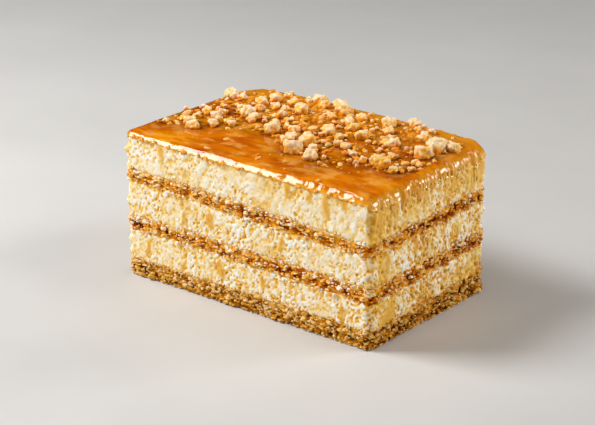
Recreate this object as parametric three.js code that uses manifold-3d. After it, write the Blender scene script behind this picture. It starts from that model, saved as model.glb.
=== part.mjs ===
// A slice of whisky ice cream cake: three crumb wafers with three layers of ice cream between and above
// them, and a syrup glaze on top with chopped nuts stuck in it. Millimetres, +Z up. The slice stands on
// z = 0 with the middle of its foot at the origin, its long side along X.
import * as THREE from 'three';
import { mergeVertices } from 'three/addons/utils/BufferGeometryUtils.js';
import Module from 'manifold-3d';

// The block
const LENGTH = 92;
const DEPTH = 56.9;
const HEIGHT = 45; // to the top of the glaze at the front edge, without the nuts
const GLAZE = { left: 0.9, right: 1.9 }; // thickness of the glaze at the front edge, at its two ends
const CORNER = { left: 2.6, near: 2.2, right: 4.4, back: 8 }; // radii of the upright corners
const SEAM = 0.12; // clear space where two layers meet
const OUTLINE_POINTS = 120;

// Where a spread layer ends and the next starts: the height at the middle, and the rise towards the +X and
// +Y faces. The layers were spread by hand, so they lean a little and wave.
const MEETINGS = {
  baseTop: { height: 6.2, riseX: -0.1, riseY: 0.8 },
  lowerWaferFoot: { height: 14.9, riseX: -0.35, riseY: 0.7 },
  lowerWaferTop: { height: 19.6, riseX: -0.4, riseY: 0.7 },
  upperWaferFoot: { height: 29.2, riseX: -1.15, riseY: 0.6 },
  upperWaferTop: { height: 33.4, riseX: -1.15, riseY: 0.6 },
};
const WAVE = { height: 0.15, lengthX: 23, lengthY: 17 };

// The glaze swells towards the back and falls away at the back corner.
const SWELL = { height: 1.4, x: 8, reach: 47, power: 4 };

// Relief of the cut sides, on the rows of points between two meetings
const CRUMBS = { rows: 3, relief: 0.55 }; // how far wafer crumbs stand out or are missing
const CREAM = { rows: 3, relief: 0.11, longWave: 7.1, shortWave: 3.3 }; // how far it swells or sinks

// The glaze runs over the rim in a round, wider on the +X side where the syrup went down. There it also
// drops lower, from a little way in to the face.
const ROLL = { rim: 1.2, syrupSide: 3.4, lip: 0.3, rows: 4 };
const SHOULDER = { drop: 1.7, reach: 2.2 };
const TOP_RINGS = [0.7, 0.35]; // rings of points on the top, as shares of its plan

// The nuts lie behind a wavy front line and are thickest round one place.
const NUTS = {
  chunks: 76,
  bits: 58,
  largest: 5.9,
  smallestChunk: 2.2,
  smallestBit: 1.3,
  sunk: 0.2, // share of the size that is below the top of the glaze
  edge: 1.7, // clear of the rim
  squareness: 8, // power that rounds the corners of the field of nuts: higher is squarer
  closest: 0.78, // distance of two pieces over their mean size
  firstSeed: 32110,
};
const FRONT_LINE = { y: -10.8, swing: 5.2, length: 58, shift: 17 };
const THICKEST = { x: -4, y: 12, spread: 26, elsewhere: 0.55 };

// A nut is a box of three uneven sides with broken faces across it, all joined bluntly. Its measures are
// shares of half its size.
const NUT_SIDES = [[0.95, 1.2], [0.7, 0.95], [0.62, 0.85]];
const NUT_TILT = 0.35; // radians from level
const BREAKS = { count: 6, nearest: 0.72, farthest: 1, lowest: -0.6, highest: 0.95 };
const BLUNTNESS = 9; // power of the sum that joins the faces: higher is sharper

const FINISH = {
  wafer: { color: 0xb97a2c, roughness: 0.9 },
  base: { color: 0xc48d42, roughness: 0.9 },
  cream: { color: 0xf3e2b8, roughness: 0.6 },
  glaze: { color: 0xc9780f, roughness: 0.15 },
};

function mix(a, b, share) {
  return a + (b - a) * share;
}

// The number-th repeatable draw for a seed, from 0 to 1
function draw(seed, number) {
  const value = Math.sin(seed * 12.9898 + number * 78.233) * 43758.5453;
  return value - Math.floor(value);
}

// The plan of the block, with evenly spaced points
function plan() {
  const x = LENGTH / 2;
  const y = DEPTH / 2;
  const turn = Math.PI / 2;
  const rounded = new THREE.Shape();
  rounded.absarc(x - CORNER.right, y - CORNER.right, CORNER.right, 0, turn);
  rounded.absarc(-x + CORNER.back, y - CORNER.back, CORNER.back, turn, 2 * turn);
  rounded.absarc(-x + CORNER.left, -y + CORNER.left, CORNER.left, 2 * turn, 3 * turn);
  rounded.absarc(x - CORNER.near, -y + CORNER.near, CORNER.near, 3 * turn, 4 * turn);
  rounded.closePath();
  return new THREE.Shape(rounded.getSpacedPoints(OUTLINE_POINTS).slice(0, -1));
}

// The way out of the block at a point of its plan
function outward(x, y) {
  const reachX = LENGTH / 2 - CORNER.near;
  const reachY = DEPTH / 2 - CORNER.near;
  const innerX = THREE.MathUtils.clamp(x, -reachX, reachX);
  const innerY = THREE.MathUtils.clamp(y, -reachY, reachY);
  return new THREE.Vector2(x - innerX, y - innerY).normalize();
}

function swell(x, y) {
  const back = THREE.MathUtils.smoothstep(y, -DEPTH / 2, DEPTH / 2);
  return SWELL.height * back * (1 - ((x - SWELL.x) / SWELL.reach) ** SWELL.power);
}

// The meetings of the layers, as heights over places in the plan
function floor() {
  return 0;
}

function spread({ height, riseX, riseY }) {
  return (x, y) => {
    const lean = (riseX * x) / (LENGTH / 2) + (riseY * y) / (DEPTH / 2);
    const along = Math.sin(x / WAVE.lengthX + height);
    const across = Math.cos((x + y) / WAVE.lengthY + height);
    return height + lean + WAVE.height * (along + across);
  };
}

function glazeFoot(x, y) {
  const thickness = mix(GLAZE.left, GLAZE.right, 0.5 + x / LENGTH);
  const shoulder = THREE.MathUtils.smoothstep(x, LENGTH / 2 - SHOULDER.reach, LENGTH / 2);
  return HEIGHT + Math.min(0, swell(x, y)) - thickness - SHOULDER.drop * shoulder;
}

// The plan drawn up through a number of rows, with its shared corners merged. Z runs from 0 to 1.
function drawnUp(rows) {
  const geometry = new THREE.ExtrudeGeometry(plan(), { depth: 1, steps: rows, bevelEnabled: false });
  geometry.deleteAttribute('normal');
  geometry.deleteAttribute('uv');
  return mergeVertices(geometry);
}

// Moves every point of a drawn-up plan to where place(spot, share) puts it. The spot is the point's place
// in the plan, and the share is how far up the rows it is.
function shaped(geometry, place) {
  const points = geometry.attributes.position;
  for (let i = 0; i < points.count; i += 1) {
    const spot = new THREE.Vector2(points.getX(i), points.getY(i));
    points.setXYZ(i, ...place(spot, points.getZ(i)));
  }
  return geometry;
}

// A spot moved out from the side, at a height
function movedOut(spot, out, z) {
  const moved = outward(spot.x, spot.y).multiplyScalar(out).add(spot);
  return [moved.x, moved.y, z];
}

function crumbRelief(x, y, z) {
  return CRUMBS.relief * (2 * draw(x + z, y) - 1);
}

function creamRelief(x, y, z) {
  const along = x + y;
  return CREAM.relief * (Math.sin(along / CREAM.shortWave + z) + Math.sin(along / CREAM.longWave - z));
}

// One layer from a meeting up to the next. The relief is on the rows between, so that two layers part
// along the same plain line round the block.
function layer(rows, foot, top, relief) {
  const start = foot === floor ? 0 : SEAM / 2;
  return shaped(drawnUp(rows), (spot, share) => {
    const { x, y } = spot;
    const z = mix(foot(x, y) + start, top(x, y) - SEAM / 2, share);
    return movedOut(spot, share === 0 || share === 1 ? 0 : relief(x, y, z), z);
  });
}

// The glaze without its nuts: upright at the foot, round in to the top, then in rings over the top
function glazePlate() {
  const rows = ROLL.rows + TOP_RINGS.length;
  return shaped(drawnUp(rows), (spot, share) => {
    const row = Math.round(share * rows);
    const foot = glazeFoot(spot.x, spot.y) + SEAM / 2;
    if (row === 0) {
      return movedOut(spot, 0, foot);
    }
    if (row > ROLL.rows) {
      const ring = spot.clone().multiplyScalar(TOP_RINGS[row - ROLL.rows - 1]);
      return [ring.x, ring.y, HEIGHT + swell(ring.x, ring.y)];
    }
    const angle = ((row - 1) / (ROLL.rows - 1)) * (Math.PI / 2);
    const width = mix(ROLL.rim, ROLL.syrupSide, Math.max(0, outward(spot.x, spot.y).x));
    const out = ROLL.lip - width * (1 - Math.cos(angle));
    return movedOut(spot, out, mix(foot + ROLL.lip, HEIGHT + swell(spot.x, spot.y), Math.sin(angle)));
  });
}

function nutSize(index) {
  if (index < NUTS.chunks) {
    return mix(NUTS.largest, NUTS.smallestChunk, Math.sqrt(index / NUTS.chunks));
  }
  return mix(NUTS.smallestChunk, NUTS.smallestBit, Math.sqrt((index - NUTS.chunks) / NUTS.bits));
}

// How thick the nuts lie at a place: none in front of the line or on the wide round of the +X side
function nutsWanted(x, y) {
  const turn = (2 * Math.PI * (x - FRONT_LINE.shift)) / FRONT_LINE.length;
  const inFront = y < FRONT_LINE.y - FRONT_LINE.swing * Math.cos(turn);
  if (inFront || x > LENGTH / 2 - ROLL.syrupSide) {
    return 0;
  }
  const away = Math.hypot(x - THICKEST.x, y - THICKEST.y) / THICKEST.spread;
  return mix(THICKEST.elsewhere, 1, Math.exp(-away * away));
}

// Where the nuts lie and how large they are, the largest first
function nutPlaces() {
  const places = [];
  for (let seed = NUTS.firstSeed; places.length < NUTS.chunks + NUTS.bits; seed += 1) {
    const shareX = mix(-1, 1, draw(seed, 1));
    const shareY = mix(-1, 1, draw(seed, 2));
    const x = shareX * (LENGTH / 2 - NUTS.edge);
    const y = shareY * (DEPTH / 2 - NUTS.edge);
    const size = nutSize(places.length);
    const inField = Math.abs(shareX) ** NUTS.squareness + Math.abs(shareY) ** NUTS.squareness < 1;
    const gap = (other) => Math.hypot(x - other.x, y - other.y) - (NUTS.closest * (size + other.size)) / 2;
    if (inField && draw(seed, 3) < nutsWanted(x, y) && places.every((other) => gap(other) > 0)) {
      places.push({ x, y, size, seed });
    }
  }
  return places;
}

function nutFaces({ size, seed }) {
  const half = size / 2;
  const tilt = new THREE.Euler(
    mix(-NUT_TILT, NUT_TILT, draw(seed, 4)),
    mix(-NUT_TILT, NUT_TILT, draw(seed, 5)),
    mix(-Math.PI, Math.PI, draw(seed, 6)),
    'ZYX',
  );
  const faces = [];
  NUT_SIDES.forEach(([shortest, longest], side) => {
    const way = new THREE.Vector3().setComponent(side, 1).applyEuler(tilt);
    const far = half * mix(shortest, longest, draw(seed, 7 + side));
    faces.push({ way, far }, { way: way.clone().negate(), far });
  });
  for (let number = 10; number < 10 + 3 * BREAKS.count; number += 3) {
    const rise = mix(BREAKS.lowest, BREAKS.highest, draw(seed, number));
    const angle = mix(-Math.PI, Math.PI, draw(seed, number + 1));
    const level = Math.sqrt(1 - rise * rise);
    const way = new THREE.Vector3(level * Math.cos(angle), level * Math.sin(angle), rise);
    faces.push({ way, far: half * mix(BREAKS.nearest, BREAKS.farthest, draw(seed, number + 2)) });
  }
  return faces;
}

// How far a nut reaches from its middle in a direction
function nutReach(faces, direction) {
  let sum = 0;
  for (const { way, far } of faces) {
    sum += (Math.max(0, direction.dot(way)) / far) ** BLUNTNESS;
  }
  return sum ** (-1 / BLUNTNESS);
}

function nut(place, index) {
  const Ball = index < NUTS.chunks ? THREE.IcosahedronGeometry : THREE.OctahedronGeometry;
  const ball = new Ball(1, 0);
  ball.deleteAttribute('normal');
  ball.deleteAttribute('uv');
  const geometry = mergeVertices(ball);
  const faces = nutFaces(place);
  const direction = new THREE.Vector3(0, 0, -1);
  const top = HEIGHT + swell(place.x, place.y);
  const middle = top - NUTS.sunk * place.size + nutReach(faces, direction);
  const points = geometry.attributes.position;
  for (let i = 0; i < points.count; i += 1) {
    direction.fromBufferAttribute(points, i).normalize();
    direction.multiplyScalar(nutReach(faces, direction));
    points.setXYZ(i, place.x + direction.x, place.y + direction.y, middle + direction.z);
  }
  return geometry;
}

const wasm = await Module();
wasm.setup();

function toSolid(geometry) {
  const vertProperties = new Float32Array(geometry.attributes.position.array);
  const triVerts = new Uint32Array(geometry.index.array);
  return new wasm.Manifold(new wasm.Mesh({ numProp: 3, vertProperties, triVerts }));
}

function toGeometry(solid) {
  const mesh = solid.getMesh();
  const geometry = new THREE.BufferGeometry();
  geometry.setAttribute('position', new THREE.BufferAttribute(mesh.vertProperties, 3));
  geometry.setIndex(new THREE.BufferAttribute(mesh.triVerts, 1));
  return geometry;
}

function glazeWithNuts() {
  let solid = toSolid(glazePlate());
  nutPlaces().forEach((place, index) => {
    solid = solid.add(toSolid(nut(place, index)));
  });
  return toGeometry(solid);
}

const cake = new THREE.Group();

function addPiece(name, geometry, finish) {
  geometry.computeVertexNormals();
  const mesh = new THREE.Mesh(geometry, new THREE.MeshStandardMaterial({ ...finish, metalness: 0 }));
  mesh.name = name;
  cake.add(mesh);
}

function addWafer(name, foot, top, finish) {
  addPiece(name, layer(CRUMBS.rows, foot, top, crumbRelief), finish);
}

function addCream(name, foot, top) {
  addPiece(name, layer(CREAM.rows, foot, top, creamRelief), FINISH.cream);
}

const baseTop = spread(MEETINGS.baseTop);
const lowerWaferFoot = spread(MEETINGS.lowerWaferFoot);
const lowerWaferTop = spread(MEETINGS.lowerWaferTop);
const upperWaferFoot = spread(MEETINGS.upperWaferFoot);
const upperWaferTop = spread(MEETINGS.upperWaferTop);
addWafer('base_wafer', floor, baseTop, FINISH.base);
addCream('cream_lower', baseTop, lowerWaferFoot);
addWafer('wafer_lower', lowerWaferFoot, lowerWaferTop, FINISH.wafer);
addCream('cream_middle', lowerWaferTop, upperWaferFoot);
addWafer('wafer_upper', upperWaferFoot, upperWaferTop, FINISH.wafer);
addCream('cream_upper', upperWaferTop, glazeFoot);
addPiece('glaze', glazeWithNuts(), FINISH.glaze);

export default cake;
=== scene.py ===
"""The looks of the whisky ice cream cake slice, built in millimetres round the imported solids.

The sizes of the block, where its layers meet and the rule that scatters the nuts are those of the solids.
"""
import itertools
import math

import bmesh
import bpy
import numpy as np
from mathutils import Euler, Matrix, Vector


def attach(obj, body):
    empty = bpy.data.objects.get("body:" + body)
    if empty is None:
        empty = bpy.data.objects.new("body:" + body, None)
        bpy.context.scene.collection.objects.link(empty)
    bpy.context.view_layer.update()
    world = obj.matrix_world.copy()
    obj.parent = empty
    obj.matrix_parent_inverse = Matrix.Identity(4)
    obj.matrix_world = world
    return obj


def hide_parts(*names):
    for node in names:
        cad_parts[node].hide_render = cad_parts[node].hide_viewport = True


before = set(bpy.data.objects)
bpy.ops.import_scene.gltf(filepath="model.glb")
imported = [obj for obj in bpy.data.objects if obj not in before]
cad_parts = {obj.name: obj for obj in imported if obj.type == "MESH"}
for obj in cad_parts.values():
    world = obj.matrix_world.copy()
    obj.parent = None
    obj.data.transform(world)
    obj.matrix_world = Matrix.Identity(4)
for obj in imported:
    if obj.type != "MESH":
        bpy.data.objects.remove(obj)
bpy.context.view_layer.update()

MM = 0.001  # the scene is in metres

# The block, in millimetres
LENGTH = 92.0
DEPTH = 56.9
HEIGHT = 45.0
HALF_LENGTH = LENGTH / 2
HALF_DEPTH = DEPTH / 2
GLAZE = {"left": 0.9, "right": 1.9}  # thickness at the front edge, at its two ends

# Round corners of the plan: radii, and the ends and sides that they lie at
CORNERS = {"right": 4.4, "back": 8.0, "left": 2.6, "near": 2.2}
CORNER_SIGNS = {"right": (1, 1), "back": (-1, 1), "left": (-1, -1), "near": (1, -1)}
CORNER_STEPS = 24
PLAN_LENGTH = 2 * (LENGTH + DEPTH) - (2 - math.pi / 2) * sum(CORNERS.values())

# Where layers meet: height at the middle, rise towards +X and rise towards +Y
MEETINGS = {
    "base_top": (6.2, -0.1, 0.8),
    "lower_wafer_foot": (14.9, -0.35, 0.7),
    "lower_wafer_top": (19.6, -0.4, 0.7),
    "upper_wafer_foot": (29.2, -1.15, 0.6),
    "upper_wafer_top": (33.4, -1.15, 0.6),
}
WAVE_HEIGHT = 0.15
WAVE_LENGTHS = (23.0, 17.0)
RAGGED = ((0.4, 3.4, 5), (0.4, 1.4, 6))  # layers of noise: strength, size and salt

# The glaze swells towards the back and falls away at the back corner
SWELL = {"height": 1.4, "x": 8.0, "reach": 47.0, "power": 4}

# On the +X side, where the syrup went down, the glaze is a wider round and reaches lower
SHOULDER = {"drop": 1.7, "reach": 2.2, "round": 3.4}


# Numbers and noise

HASH_AXES = np.array([73856093, 19349663, 83492791], dtype=np.uint32)
HASH_SALT = 40503
HASH_ROUNDS = ((15, 2246822519), (13, 3266489917))
HASH_LAST_SHIFT = 16

# Points times these give noise that is drawn out along some axes
UPRIGHT = np.array([1.0, 1.0, 0.15])
TALL = np.array([1.0, 1.0, 0.5])
LEVEL = np.array([0.25, 0.25, 1.0])
FLAKY = np.array([0.7, 0.7, 1.2])


def mix(a, b, share):
    """The value that lies a share of the way from a to b."""
    return a + (b - a) * share


def ramp(low, high, value):
    """0 below low, 1 above high and smooth between."""
    share = np.clip((value - low) / (high - low), 0.0, 1.0)
    return share * share * (3.0 - 2.0 * share)


def hump(away, width):
    """1 at no distance, falling smoothly to nothing over about two widths."""
    return np.exp(-((away / width) ** 2))


def weighted(weights, **parts):
    """The plain value among the weights, if any, plus each part times its weight."""
    return weights.get("plain", 0.0) + sum(weights[name] * part for name, part in parts.items())


def cell_draw(cell, salt):
    """A repeatable draw from 0 to 1 for each row of three whole numbers."""
    key = cell.astype(np.int64).astype(np.uint32)
    mixed = np.bitwise_xor.reduce(key * HASH_AXES, axis=1) + np.uint32(salt * HASH_SALT)
    for shift, factor in HASH_ROUNDS:
        mixed = (mixed ^ (mixed >> np.uint32(shift))) * np.uint32(factor)
    mixed = mixed ^ (mixed >> np.uint32(HASH_LAST_SHIFT))
    return mixed.astype(np.float64) / 2.0**32


def noise(points, size, salt):
    """Smooth noise from -1 to 1 with lumps of a size; each salt gives another pattern."""
    scaled = points / size
    base = np.floor(scaled)
    part = scaled - base
    part = part * part * (3.0 - 2.0 * part)
    total = np.zeros(len(points))
    for corner in itertools.product((0, 1), repeat=3):
        weight = np.prod(np.where(corner, part, 1.0 - part), axis=1)
        total += weight * cell_draw(base + corner, salt)
    return 2.0 * total - 1.0


def layered_noise(points, layers):
    """The sum of layers of noise, each with a strength, a size and a salt."""
    return sum(strength * noise(points, size, salt) for strength, size, salt in layers)


def scattered(points, size, salt):
    """Distance to the nearest of points strewn one to a cell, over the cell size, and that point's draw."""
    scaled = points / size
    base = np.floor(scaled)
    nearest = np.full(len(points), np.inf)
    drawn = np.zeros(len(points))
    for step in itertools.product((-1, 0, 1), repeat=3):
        cell = base + step
        spot = cell + np.stack([cell_draw(cell, salt + axis) for axis in range(3)], axis=1)
        gap = np.linalg.norm(scaled - spot, axis=1)
        closer = gap < nearest
        nearest[closer] = gap[closer]
        drawn[closer] = cell_draw(cell, salt + 3)[closer]
    return nearest, drawn


# The form of the block

def plan(count):
    """Evenly spaced points round the block's plan and the ways out there, from the middle of the +X face."""
    points, ways = [(HALF_LENGTH, 0.0)], [(1.0, 0.0)]
    for turn, (corner, radius) in enumerate(CORNERS.items()):
        sign_x, sign_y = CORNER_SIGNS[corner]
        middle = np.array([sign_x * (HALF_LENGTH - radius), sign_y * (HALF_DEPTH - radius)])
        for angle in np.linspace(turn, turn + 1, CORNER_STEPS + 1) * math.pi / 2:
            way = np.array([math.cos(angle), math.sin(angle)])
            points.append(middle + radius * way)
            ways.append(way)
    points = np.array(points + points[:1])
    ways = np.array(ways + ways[:1])
    along = np.concatenate([[0.0], np.cumsum(np.linalg.norm(np.diff(points, axis=0), axis=1))])
    at = np.linspace(0.0, along[-1], count, endpoint=False)
    spots = np.stack([np.interp(at, along, values) for values in points.T], axis=1)
    out = np.stack([np.interp(at, along, values) for values in ways.T], axis=1)
    return spots, out / np.linalg.norm(out, axis=1, keepdims=True)


def syrup_side(ways):
    """How far each way out points to the +X side, where the syrup went down: from 0 to 1."""
    return np.maximum(0.0, ways[:, 0])


def glaze_top(x, y):
    """Height of the top of the glaze at places in the plan."""
    back = ramp(-HALF_DEPTH, HALF_DEPTH, y)
    return HEIGHT + SWELL["height"] * back * (1.0 - ((x - SWELL["x"]) / SWELL["reach"]) ** SWELL["power"])


def glaze_foot(x, y):
    """Height of the foot of the glaze at places in the plan."""
    thickness = mix(GLAZE["left"], GLAZE["right"], 0.5 + x / LENGTH)
    fall = np.minimum(0.0, glaze_top(x, y) - HEIGHT)
    drop = SHOULDER["drop"] * ramp(HALF_LENGTH - SHOULDER["reach"], HALF_LENGTH, x)
    return HEIGHT + fall - thickness - drop


def meeting_height(name, spots):
    """Height of a meeting of two layers at points of the plan, ragged where a wafer ends."""
    x, y = spots.T
    if name == "floor":
        return np.zeros(len(spots))
    if name == "glaze_foot":
        return glaze_foot(x, y)
    height, rise_x, rise_y = MEETINGS[name]
    lean = rise_x * x / HALF_LENGTH + rise_y * y / HALF_DEPTH
    wave = np.sin(x / WAVE_LENGTHS[0] + height) + np.cos((x + y) / WAVE_LENGTHS[1] + height)
    flat = np.column_stack([x, y, np.full(len(spots), height)])
    return height + lean + WAVE_HEIGHT * wave + layered_noise(flat, RAGGED)


# Meshes: a group is its points, its faces and values for its points by name

def merged(groups):
    """One group made of several."""
    points, faces, values = [], [], {}
    start = 0
    for group_points, group_faces, group_values in groups:
        faces += [[start + corner for corner in face] for face in group_faces]
        for key, numbers in group_values.items():
            values.setdefault(key, []).append(numbers)
        points.append(group_points)
        start += len(group_points)
    return np.vstack(points), faces, {key: np.concatenate(parts) for key, parts in values.items()}


def add_piece(name, material, groups, smooth=True):
    """A mesh object made of groups in millimetres, with their values as attributes."""
    points, faces, values = merged(groups)
    mesh = bpy.data.meshes.new(name)
    mesh.from_pydata((points * MM).tolist(), [], faces)
    for key, numbers in values.items():
        layer = mesh.attributes.new(key, "FLOAT", "POINT")
        layer.data.foreach_set("value", numbers.astype(np.float32))
    mesh.polygons.foreach_set("use_smooth", np.full(len(mesh.polygons), smooth))
    mesh.materials.append(material)
    mesh.update()
    piece = bpy.data.objects.new(name, mesh)
    bpy.context.scene.collection.objects.link(piece)
    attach(piece, "root")
    return piece


def band_points(foot, top, columns, rows):
    """Points of the block's side between two meetings, the ways out there and the shares of the height."""
    spots, ways = plan(columns)
    low, high = meeting_height(foot, spots), meeting_height(top, spots)
    shares = np.repeat(np.linspace(0.0, 1.0, rows + 1), columns)
    heights = mix(np.tile(low, rows + 1), np.tile(high, rows + 1), shares)
    points = np.column_stack([np.tile(spots, (rows + 1, 1)), heights])
    return points, np.tile(ways, (rows + 1, 1)), shares


def band_faces(columns, rows):
    """Quads of a closed band, rows of points from the foot up, with a fan to a middle point at each end."""
    faces = []
    for row, column in itertools.product(range(rows), range(columns)):
        after = (column + 1) % columns
        faces.append((row * columns + column, row * columns + after,
                      (row + 1) * columns + after, (row + 1) * columns + column))
    low, high = (rows + 1) * columns, (rows + 1) * columns + 1
    for column in range(columns):
        after = (column + 1) % columns
        faces.append((after, column, low))
        faces.append((rows * columns + column, rows * columns + after, high))
    return faces


def closed_band(points, columns, values):
    """A group from rows of points and their values, with the two middle points that close the rows."""
    middles = [(0.0, 0.0, row[:, 2].mean()) for row in (points[:columns], points[-columns:])]
    faces = band_faces(columns, len(points) // columns - 1)
    values = {key: np.append(numbers, np.zeros(len(middles))) for key, numbers in values.items()}
    return np.vstack([points, middles]), faces, values


# Materials, with colours as red, green and blue from 0 to 255 on a screen

MIX_SHARE, MIX_FIRST, MIX_SECOND, MIX_RESULT = 0, 6, 7, 2  # the mix node's sockets for colours


def linear(colour):
    """A screen's colour as the shader's linear values."""
    values = np.array(colour) / 255.0
    values = np.where(values <= 0.04045, values / 12.92, ((values + 0.055) / 1.055) ** 2.4)
    return (*values.tolist(), 1.0)


class Finish:
    """A material with a Principled shader and short ways to add the nodes that feed it."""

    def __init__(self, name, **sockets):
        self.material = bpy.data.materials.new(name)
        self.material.use_nodes = True
        self.nodes = self.material.node_tree.nodes
        self.links = self.material.node_tree.links
        self.shader = self.nodes["Principled BSDF"]
        for socket, value in sockets.items():
            self.shader.inputs[socket.replace("_", " ")].default_value = value
        self.place = self.nodes.new("ShaderNodeTexCoord").outputs["Object"]

    def node(self, kind, links, **values):
        """A new node with links into its sockets, and values for others of them."""
        node = self.nodes.new("ShaderNode" + kind)
        for socket, source in links.items():
            self.links.new(source, node.inputs[socket])
        for socket, value in values.items():
            node.inputs[socket.replace("_", " ")].default_value = value
        return node

    def attribute(self, name):
        """A value that the mesh holds for each point."""
        node = self.node("Attribute", {})
        node.attribute_name = name
        return node.outputs["Fac"]

    def noise(self, size, detail=3.0, stretch=(1, 1, 1)):
        """Noise with lumps of a size in millimetres, stretched along the axes."""
        scale = [1.0 / (size * MM * part) for part in stretch]
        placed = self.node("Mapping", {"Vector": self.place}, Scale=scale).outputs["Vector"]
        return self.node("TexNoise", {"Vector": placed}, Scale=1.0, Detail=detail).outputs["Fac"]

    def range(self, value, low, high, to_low=0.0, to_high=1.0):
        """A value between low and high moved smoothly to between two others."""
        limits = {"From_Min": low, "From_Max": high, "To_Min": to_low, "To_Max": to_high}
        node = self.node("MapRange", {"Value": value}, **limits)
        node.interpolation_type = "SMOOTHSTEP"
        return node.outputs["Result"]

    def ramp(self, value, stops):
        """Colours at places from 0 to 1."""
        node = self.node("ValToRGB", {"Fac": value})
        elements = node.color_ramp.elements
        while len(elements) < len(stops):
            elements.new(0.5)
        for element, (place, colour) in zip(elements, stops):
            element.position = place
            element.color = linear(colour)
        return node.outputs["Color"]

    def blend(self, share, first, second):
        """A colour that gives way by a share to a second one, which is a socket or a fixed colour."""
        node = self.nodes.new("ShaderNodeMix")
        node.data_type = "RGBA"
        self.links.new(share, node.inputs[MIX_SHARE])
        self.links.new(first, node.inputs[MIX_FIRST])
        if isinstance(second, bpy.types.NodeSocket):
            self.links.new(second, node.inputs[MIX_SECOND])
        else:
            node.inputs[MIX_SECOND].default_value = linear(second)
        return node.outputs[MIX_RESULT]

    def feed(self, socket, value):
        """Links a value to a socket of the shader."""
        self.links.new(value, self.shader.inputs[socket])

    def bump(self, height, depth, strength):
        """Raises the surface by a height from 0 to 1, at most depth millimetres."""
        node = self.node("Bump", {"Height": height}, Distance=depth * MM, Strength=strength)
        self.feed("Normal", node.outputs["Normal"])


def cream_finish():
    """Ice cream, yellower in its pores, amber and glossy where syrup has soaked it."""
    finish = Finish("ice_cream", Subsurface_Weight=0.2, Subsurface_Scale=0.6 * MM,
                    Subsurface_Radius=(1.0, 0.6, 0.3), Specular_IOR_Level=0.2, Coat_Roughness=0.07)
    pore = finish.attribute("pore")
    soak = finish.attribute("soak")
    dry = finish.ramp(pore, [
        (0.0, (255, 254, 251)), (0.25, (254, 243, 220)), (0.5, (247, 209, 120)),
        (0.75, (236, 168, 22)), (1.0, (212, 128, 0))])
    cloud = finish.range(finish.noise(6.0), 0.4, 0.7, to_high=0.3)
    tinted = finish.blend(cloud, dry, (243, 202, 112))
    grain = finish.noise(0.5, detail=2.0)
    speckled = finish.blend(finish.range(grain, 0.5, 0.72, to_high=0.2), tinted, (234, 178, 70))
    wet = finish.ramp(pore, [
        (0.0, (253, 237, 194)), (0.3, (243, 195, 68)), (0.6, (224, 151, 0)), (1.0, (180, 104, 0))])
    finish.feed("Base Color", finish.blend(soak, speckled, wet))
    finish.feed("Roughness", finish.range(soak, 0.1, 0.8, to_low=0.6, to_high=0.2))
    finish.feed("Coat Weight", finish.range(soak, 0.4, 1.0, to_high=0.45))
    finish.bump(grain, depth=0.12, strength=0.25)
    return finish.material


def crumb_finish(name, stops):
    """Crumb in colours from the gaps to the lightest crumbs, with specks of the second darkest."""
    finish = Finish(name, Roughness=0.6, Subsurface_Weight=0.1, Subsurface_Scale=0.5 * MM,
                    Specular_IOR_Level=0.06)
    tone = finish.ramp(finish.attribute("tone"), stops)
    speck = finish.range(finish.noise(0.8), 0.52, 0.75, to_high=0.35)
    speck_colour = stops[1][1]
    finish.feed("Base Color", finish.blend(speck, tone, speck_colour))
    finish.bump(finish.noise(0.3, detail=2.0), depth=0.1, strength=0.8)
    return finish.material


def wafer_finish():
    """The brown crumb of the two thin wafers."""
    return crumb_finish("crumb_wafer", [
        (0.0, (116, 34, 0)), (0.25, (200, 106, 2)), (0.5, (241, 169, 36)), (0.75, (249, 214, 138)),
        (1.0, (254, 248, 242))])


def base_finish():
    """The golden crumb of the thick wafer at the foot."""
    return crumb_finish("crumb_base", [
        (0.0, (76, 28, 0)), (0.25, (152, 86, 2)), (0.5, (216, 147, 32)), (0.75, (236, 186, 88)),
        (1.0, (242, 214, 166))])


def glaze_finish():
    """Amber syrup with streaks and flecks, deeper round the nuts and paler where it is thin; the fine streaks
    are painted ripple reflections, the flecks are painted glints, the deeper colour is partly painted shadow
    and the paler back is a painted reflection.
    """
    finish = Finish("syrup_glaze", Roughness=0.06, IOR=1.45, Specular_IOR_Level=0.45)
    streak = finish.noise(15.0, stretch=(1.4, 0.8, 1.0))
    broad = finish.ramp(streak, [(0.3, (184, 78, 0)), (0.5, (226, 122, 0)), (0.7, (246, 158, 10))])
    # Painted reflection: fine darker streaks drawn along the top stand in for ripples
    fine = finish.noise(3.4, detail=4.0, stretch=(1.9, 0.6, 1.0))
    body = finish.blend(finish.range(fine, 0.32, 0.56, to_low=0.5, to_high=0.0), broad, (160, 62, 0))
    # Painted glints: small paler flecks
    painted_glint = finish.noise(4.0, detail=6.0, stretch=(1.4, 0.8, 1.0))
    with_painted_glints = finish.blend(finish.range(painted_glint, 0.5, 0.68, to_high=0.5), body, (250, 186, 84))
    # Deeper colour round the nuts: thicker syrup and painted shadow
    deep_and_shadow = finish.blend(finish.attribute("deep_and_shadow"), with_painted_glints, (72, 12, 0))
    # The thin value is real thin glaze on the rim, and also a painted reflection that makes the top paler
    # towards the back
    thin_and_sheen = finish.attribute("thin_and_sheen")
    thinner = finish.blend(finish.range(thin_and_sheen, 0.0, 0.5), deep_and_shadow, (234, 154, 30))
    pale = finish.ramp(finish.noise(1.6), [(0.35, (232, 158, 34)), (0.65, (246, 204, 116))])
    finish.feed("Base Color", finish.blend(finish.range(thin_and_sheen, 0.5, 1.0), thinner, pale))
    finish.bump(finish.noise(2.2), depth=0.05, strength=0.5)
    return finish.material


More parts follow.
